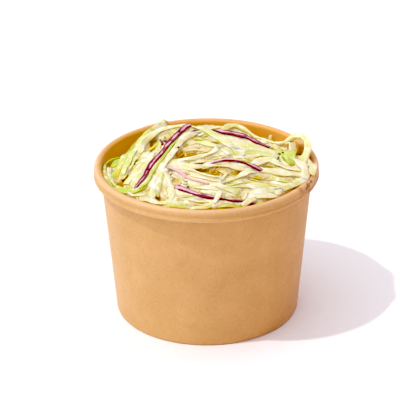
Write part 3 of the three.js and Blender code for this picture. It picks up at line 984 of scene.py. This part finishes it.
def pepper_material():
    """Black pepper cracked in a mill. Its husk is nearly black and matt, and brown where it is split."""
    material, tree = new_material("black_pepper_cracked")
    place = add(tree, "TexCoord", {}, out="Object")
    splits = add(tree, "TexNoise", {"Vector": place, "Scale": 1 / (HUSK_SPLIT * MM), "Detail": 2.0})
    share = add(tree, "MapRange", {"Value": splits, FROM_LOW: 0.45, FROM_HIGH: 0.7})
    colour = add(tree, "Mix", {SHARE: share, FIRST: HUSK["whole"], SECOND: HUSK["split"]})
    finish = {"Roughness": 0.6, "IOR": 1.45}
    add_surface(tree, colour, splits, finish, strength=0.6, depth=HUSK_RELIEF)
    return material


white_cabbage = white_cabbage_material()
red_cabbage = red_cabbage_material()
dressing = dressing_material()
pepper = pepper_material()

# ---- the coleslaw

CORE_DEPTH = 6.0  # mm from the wanted heights down to where the first shreds are laid
CREVICE = 1  # cells. Crevices up to twice as wide are filled with dressing
FILL_DEPTH = 0.45  # mm from the tops of the shreds down to the dressing between them, and
FRONT_FILL_DEPTH = 0.25  # the same at the front, where it has run down
FRONT = (14, 26)  # mm in front of the axis between which the one turns into the other
FILL_LUMPS = 0.12  # mm
BRIDGED = 2.0  # mm over the wanted heights, from which a strand bridges a hollow that is not filled
UNDER_LOOSE, OVER_LOOSE = 0.4, 1.2  # mm above the wanted heights that each lot of loose shreds fills up
TOP_FROM, TOP_TO = 0.5, 1.5  # mm over the modelled heap between which the heap's real top lies

rng = np.random.default_rng(SEED)
lumps = blurred(rng.normal(0, 1, GRID_X.shape))
lumps = lumps / lumps.std()
pile = Pile(spread(wanted, 2, np.min) - CORE_DEPTH + lumps)
strew(pile, rng, wanted + UNDER_LOOSE, count=620, lengths=(12, 45), slim=0.95, pressed=True)
lay_top_strands(pile, rng, CABBAGE_STRANDS)
strew(pile, rng, wanted + OVER_LOOSE, count=140, lengths=(14, 44), slim=0.85, pressed=False)
lay_top_strands(pile, rng, RED_STRANDS, "red")
lay_top_strands(pile, rng, CROSSING_BITS)
ceiling = spread(spread(pile.bed, 4, np.max), 2, np.mean)
ceiling = np.clip(ceiling, outline + TOP_FROM, outline + TOP_TO)
closed = spread(spread(pile.bed, CREVICE, np.max), CREVICE, np.min)
filled = FILL_DEPTH + (FRONT_FILL_DEPTH - FILL_DEPTH) * smooth_step(-GRID_Y, *FRONT)
core_top = np.minimum(spread(closed, 1, np.mean) - filled - FILL_LUMPS * lumps, wanted + BRIDGED)

CORE_RADIUS = 41.0
CORE_SLICES, CORE_RINGS, CORE_SIDE_RINGS = 360, 110, 12
CORE_MIDDLE = 0.004  # share of its radius that is left open at the axis


def core():
    """Fine wet shreds and dressing under the loose strands, down to the base."""
    around = np.linspace(0, 2 * math.pi, CORE_SLICES, endpoint=False)[:, None]
    floor = BASE_LIFT + PAPER + PLAY
    radius = CORE_RADIUS * np.linspace(CORE_MIDDLE, 1, CORE_RINGS) + 0 * around
    top = core_top[nearest(radius * np.cos(around), radius * np.sin(around))]
    radius = radius * np.minimum(1, (wall_inside(top) - 2 * PLAY) / CORE_RADIUS)
    down_height = top[:, -1:] + (floor - top[:, -1:]) * np.linspace(0, 1, CORE_SIDE_RINGS)[1:]
    down_radius = wall_inside(down_height) - 2 * PLAY
    inwards = np.linspace(1, CORE_MIDDLE, CORE_SIDE_RINGS)[1:]
    radius = np.concatenate([radius, down_radius, down_radius[:, -1:] * inwards], 1)
    height = np.concatenate([top, down_height, down_height[:, -1:] + 0 * inwards], 1)
    points = np.stack([radius * np.cos(around), radius * np.sin(around), height], -1)
    quads = grid_quads(*points.shape[:2], wrap_rows=True, wrap_columns=True)
    # Depth below the heap's top: the dressing paints shade by it.
    depth = np.maximum(0, ceiling[nearest(points[..., 0], points[..., 1])] - points[..., 2]).ravel()
    piece = make_piece("coleslaw_core", points, quads, dressing, numbers={"depth": depth})
    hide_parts("coleslaw")


# Dabs of dressing, where shreds were dropped over the rim and against the wall: middle and half sizes
# in mm.
DABS = (
    ((40.2, -7.5, 65.1), (1.1, 1.7, 0.5)),
    ((42.9, -4.8, 63.3), (0.9, 2.0, 0.25)),
    ((26.7, 31.2, 58.0), (0.9, 0.7, 2.2)),
)
# Cracked pepper on the shreds and the rim: place and half sizes.
PEPPER = (
    ((29.2, 1.6), (0.75, 0.4)),
    ((30.5, 0.6), (0.5, 0.35)),
    ((28.7, -2.4), (0.4, 0.4)),
    ((29.2, -4.3), (0.35, 0.5)),
    ((37.2, 1.2), (0.45, 0.5)),
    ((41.6, -1.4), (0.35, 0.6)),
    ((42.5, -4.0), (0.5, 0.4)),
    ((-7.1, -27.9), (0.5, 0.4)),
    ((-11.1, 5), (0.5, 0.5)),
)
PEPPER_THICK = 0.25  # half of its thickness
LUMP_SLICES, LUMP_RINGS = 28, 16
LUMP_END = 0.04  # radians left open at its top and bottom
LUMP_WAVES, LUMP_SWELL = 4, 0.08  # waves that make it uneven, and their height as a share of its size
LUMP_TURNS = 2.5  # radians that a wave goes through, at most, from a lump's middle to its side
ON_RIM = 1  # mm inside the neck from which a lump lies on the rim


def little_lumps(rng, name, lumps, material):
    """Flattened, uneven lumps on the heap."""
    round_about = np.linspace(0, 2 * math.pi, LUMP_SLICES, endpoint=False)[:, None]
    down = np.linspace(LUMP_END, math.pi - LUMP_END, LUMP_RINGS)
    ball = [np.cos(round_about) * np.sin(down), np.sin(round_about) * np.sin(down), np.cos(down)]
    ball = np.stack(np.broadcast_arrays(*ball), -1)
    faces = grid_quads(LUMP_SLICES, LUMP_RINGS, wrap_rows=True)
    points, quads = [], []
    for middle, half in lumps:
        waves = rng.uniform(-LUMP_TURNS, LUMP_TURNS, (LUMP_WAVES, 3))
        starts = rng.uniform(0, LATEST_START, LUMP_WAVES)
        swell = 1 + LUMP_SWELL * np.sin(ball @ waves.T + starts).sum(-1)
        points.append((np.array(middle) + ball * swell[..., None] * half).reshape(-1, 3))
        quads.append(faces + len(quads) * len(points[0]))
    points = np.concatenate(points)
    numbers = {"depth": np.zeros(len(points))}
    piece = make_piece(name, points, np.concatenate(quads), material, numbers=numbers)
    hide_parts("coleslaw")


def lying(x, y):
    """A place on top of the pile, or on the rim."""
    on_rim = math.hypot(x, y) > NECK_RADIUS - ON_RIM
    return x, y, HEIGHT if on_rim else spread(pile.bed, 1, np.max)[nearest(x, y)]


core()
little_lumps(rng, "dressing_dabs", DABS, dressing)
grit = [(lying(*place), (*half, PEPPER_THICK)) for place, half in PEPPER]
little_lumps(rng, "pepper_grit", grit, pepper)
for kind in ("heart", "leaf", "outer"):
    gather(rng, f"white_cabbage_{kind}_shreds", pile.shreds[kind], white_cabbage)
gather(rng, "red_cabbage_shreds", pile.shreds["red"], red_cabbage)

# ---- floor, light and camera

CARD = palette(low="#efeeee", high="#f4f3f3")
CARD_GRAIN = 2.5  # mm. Its real grain is too fine to show
FLOOR_SIZE = 12  # metres


def studio_floor():
    """A sheet of matt white card, pressed smooth. Its faint grain keeps it from looking like a screen."""
    material, tree = new_material("white_card_matt_pressed")
    place = add(tree, "TexCoord", {}, out="Object")
    grain = add(tree, "TexNoise", {"Vector": place, "Scale": 1 / (CARD_GRAIN * MM), "Detail": 3.0})
    colour = add(tree, "Mix", {SHARE: grain, FIRST: CARD["low"], SECOND: CARD["high"]})
    shader = add(tree, "BsdfPrincipled", {"Base Color": colour, "Roughness": 0.9})
    add(tree, "OutputMaterial", {"Surface": shader})
    bpy.ops.mesh.primitive_plane_add(size=FLOOR_SIZE)
    floor = bpy.context.object
    floor.name = "studio_floor"
    floor.data.materials.append(material)


SUN_DIRECTION = Vector((-0.470, -0.165, 0.867))  # from the pot to the light
SUN_STRENGTH = 1.22
SUN_ANGLE = math.radians(1.6)  # width of the light, which softens the shadow's edge
SKY_LOW, SKY_HIGH = 0.95, 1.46  # strength at the horizon and overhead
STUDIO = palette(sky="#f2f5ff", reflector="#9c4608")  # the reflector is a warm board on the right
REFLECTOR_SIDE = (0.92, -0.39, 0)  # direction of its middle
REFLECTOR_EDGE, REFLECTOR_FULL = 0.3, 0.7  # how far to that side it begins and is full, as cosines
REFLECTOR_TOP, REFLECTOR_FADE = 0.55, 0.9  # heights of its top, and of where its light ends, as sines
BLACK_LEVEL = 0.07  # light that the picture shows as black


def light():
    lamp = bpy.data.lights.new("key", "SUN")
    lamp.energy = SUN_STRENGTH
    lamp.angle = SUN_ANGLE
    key = bpy.data.objects.new("key", lamp)
    key.rotation_euler = SUN_DIRECTION.to_track_quat("Z", "Y").to_euler()
    bpy.context.scene.collection.objects.link(key)
    world = bpy.data.worlds.new("studio")
    world.use_nodes = True
    tree = world.node_tree
    tree.nodes.clear()
    direction = add(tree, "TexCoord", {}, out="Generated")
    upward = add(tree, "SeparateXYZ", {0: direction}, out="Z")
    strength = add(tree, "MapRange", {"Value": upward, TO_LOW: SKY_LOW, TO_HIGH: SKY_HIGH})
    towards = {0: direction, 1: REFLECTOR_SIDE}
    rightward = add(tree, "VectorMath", towards, out="Value", operation="DOT_PRODUCT")
    sides = {"Value": rightward, FROM_LOW: REFLECTOR_EDGE, FROM_HIGH: REFLECTOR_FULL}
    heights = {"Value": upward, FROM_LOW: REFLECTOR_FADE, FROM_HIGH: REFLECTOR_TOP}
    beside, below = add(tree, "MapRange", sides), add(tree, "MapRange", heights)
    warm = add(tree, "Math", {0: beside, 1: below}, operation="MULTIPLY")
    tint = add(tree, "Mix", {SHARE: warm, FIRST: STUDIO["sky"], SECOND: STUDIO["reflector"]})
    sky = add(tree, "Background", {"Color": tint, "Strength": strength})
    add(tree, "OutputWorld", {"Surface": sky})
    bpy.context.scene.world = world


CAMERA_PLACE = Vector((0.0, -742.3, 407.9)) * MM
CAMERA_TARGET = Vector((-2.64, 0, 46.2)) * MM
CAMERA_ROLL = math.radians(-0.56)
LENS = 184.6


def camera():
    data = bpy.data.cameras.new("camera")
    data.lens = LENS
    made = bpy.data.objects.new("camera", data)
    made.location = CAMERA_PLACE
    aim = (CAMERA_TARGET - CAMERA_PLACE).to_track_quat("-Z", "Y")
    made.rotation_euler = (aim @ Quaternion((0, 0, 1), CAMERA_ROLL)).to_euler()
    bpy.context.scene.collection.objects.link(made)
    bpy.context.scene.camera = made


studio_floor()
light()
camera()
display = bpy.context.scene.view_settings
display.view_transform = "Standard"
display.use_curve_mapping = True
display.curve_mapping.black_level = (BLACK_LEVEL,) * 3
display.curve_mapping.update()
